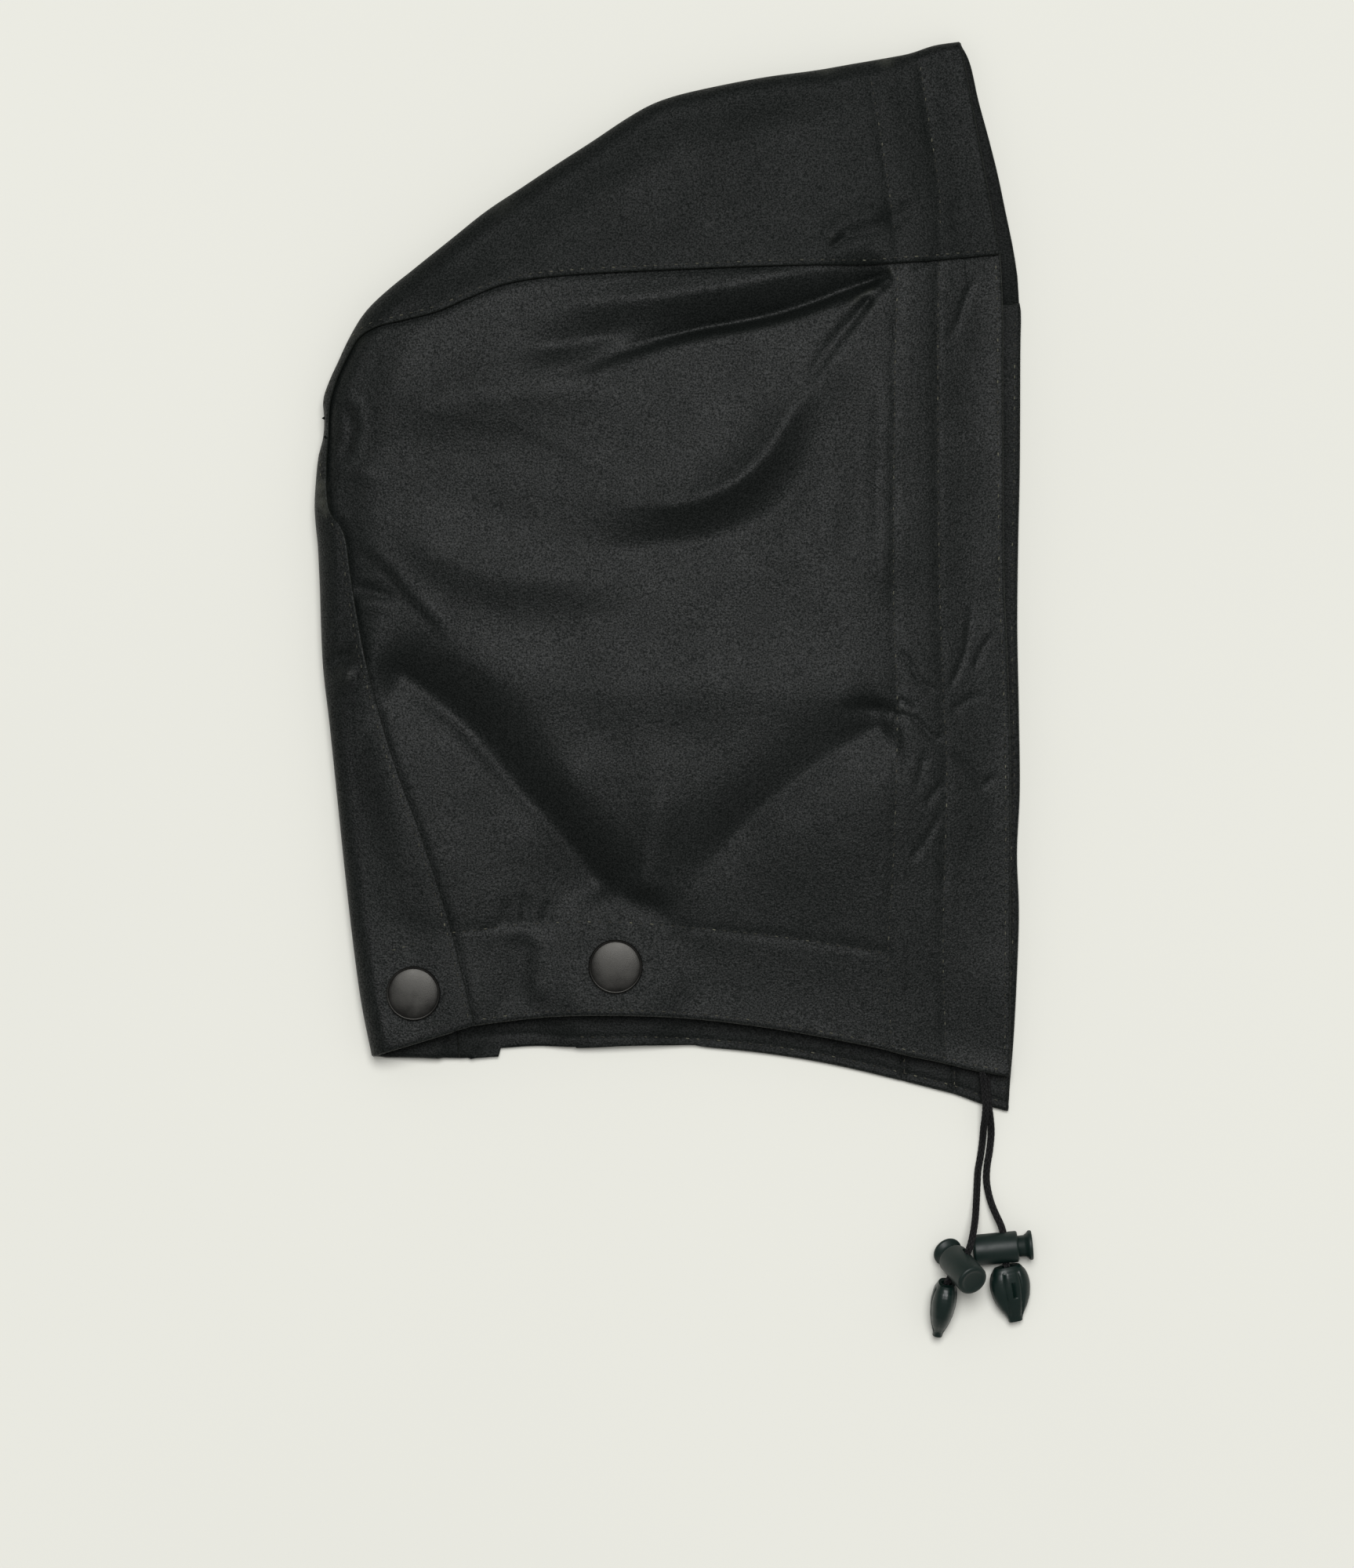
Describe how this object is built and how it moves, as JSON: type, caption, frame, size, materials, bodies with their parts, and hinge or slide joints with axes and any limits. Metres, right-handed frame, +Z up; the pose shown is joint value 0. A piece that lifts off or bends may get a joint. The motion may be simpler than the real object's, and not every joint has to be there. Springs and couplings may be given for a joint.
{
  "type": "detachable hood",
  "caption": "Three-panel waxed-cotton hood laid flat, with press studs along the neck and a drawcord with spring cord locks at the face opening.",
  "frame": {"origin": "centre of the footprint of the hood without its free cord ends, on the surface that it lies on", "axes": "+X from the back of the head to the face opening, +Y from the neck to the crown, +Z up from the surface, out of the wearer's right side"},
  "size_m": [0.2276, 0.4123, 0.0273],
  "materials": {
    "waxed_cotton": "waxed plain-weave cotton, near-black olive, soft sheen",
    "stud_metal": "dark gunmetal, satin",
    "toggle_plastic": "moulded plastic, dark green, satin",
    "cord_braid": "round braided polyester, black"
  },
  "bodies": {
    "hood": {"centre_panel": "waxed_cotton", "side_panel_right": "waxed_cotton", "side_panel_left": "waxed_cotton", "stud_cap_nape_right": "stud_metal", "stud_socket_nape_right": "stud_metal", "stud_cap_neck_right": "stud_metal", "stud_socket_neck_right": "stud_metal", "stud_cap_nape_left": "stud_metal", "stud_socket_nape_left": "stud_metal", "stud_cap_neck_left": "stud_metal", "stud_socket_neck_left": "stud_metal", "drawcord_right": "cord_braid", "drawcord_left": "cord_braid", "lock_barrel_right": "toggle_plastic", "lock_barrel_left": "toggle_plastic", "cord_end_right": "toggle_plastic", "cord_end_left": "toggle_plastic"},
    "button_right": {"lock_plunger_right": "toggle_plastic"},
    "button_left": {"lock_plunger_left": "toggle_plastic"}
  },
  "joints": [
    {"name": "press_right", "type": "slide", "parent": "hood", "child": "button_right", "axis": [0.412, -0.4575, 0.788], "range_m": [0, 0.0022], "stiffness_N_per_m": 300, "springref_m": -0.005},
    {"name": "press_left", "type": "slide", "parent": "hood", "child": "button_left", "axis": [-0.9954, -0.0958, 0], "range_m": [0, 0.0022], "stiffness_N_per_m": 300, "springref_m": -0.005}
  ]
}
